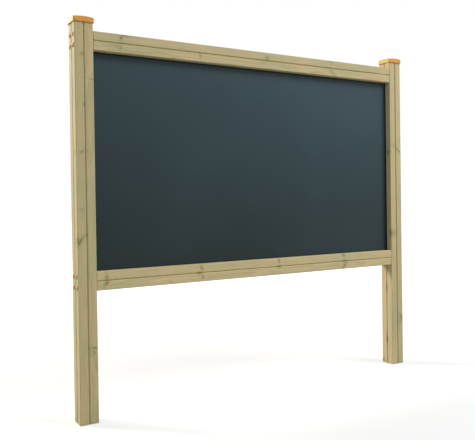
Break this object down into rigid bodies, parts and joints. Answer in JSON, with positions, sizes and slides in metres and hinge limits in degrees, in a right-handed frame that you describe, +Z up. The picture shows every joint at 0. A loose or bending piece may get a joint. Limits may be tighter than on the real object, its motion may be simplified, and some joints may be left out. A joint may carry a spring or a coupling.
{
  "type": "outdoor chalkboard",
  "caption": "Large blank writing board held in grooved softwood rails between two square timber posts with plastic post caps, for a park or playground.",
  "frame": {"origin": "on the ground, midway between the two posts and midway through their thickness", "axes": "+X along the board from the left post to the right one, as its writing side is faced; +Y through the board, away from the writing side; +Z up"},
  "size_m": [2.203, 0.107, 2.018],
  "materials": {
    "treated_pine": "planed, pressure treated, oiled and weathered",
    "chalkboard_face": "exterior plywood with a matt slate-coloured writing coat",
    "orange_plastic": "moulded, satin, sun-faded",
    "rust_orange_plastic": "moulded, satin, darker than the caps",
    "zinc_plated_steel": "zinc plated"
  },
  "bodies": {
    "root": {"left_post": "treated_pine", "right_post": "treated_pine", "bottom_rail": "treated_pine", "top_rail": "treated_pine", "writing_board": "chalkboard_face", "left_post_cap": "orange_plastic", "right_post_cap": "orange_plastic", "left_cap_screw": "zinc_plated_steel", "right_cap_screw": "zinc_plated_steel", "left_bottom_coach_screws": "zinc_plated_steel", "left_bottom_washers": "zinc_plated_steel", "left_bottom_screw_covers": "rust_orange_plastic", "left_top_coach_screws": "zinc_plated_steel", "left_top_washers": "zinc_plated_steel", "left_top_screw_covers": "rust_orange_plastic", "right_bottom_coach_screws": "zinc_plated_steel", "right_bottom_washers": "zinc_plated_steel", "right_bottom_screw_covers": "rust_orange_plastic", "right_top_coach_screws": "zinc_plated_steel", "right_top_washers": "zinc_plated_steel", "right_top_screw_covers": "rust_orange_plastic"}
  },
  "joints": []
}
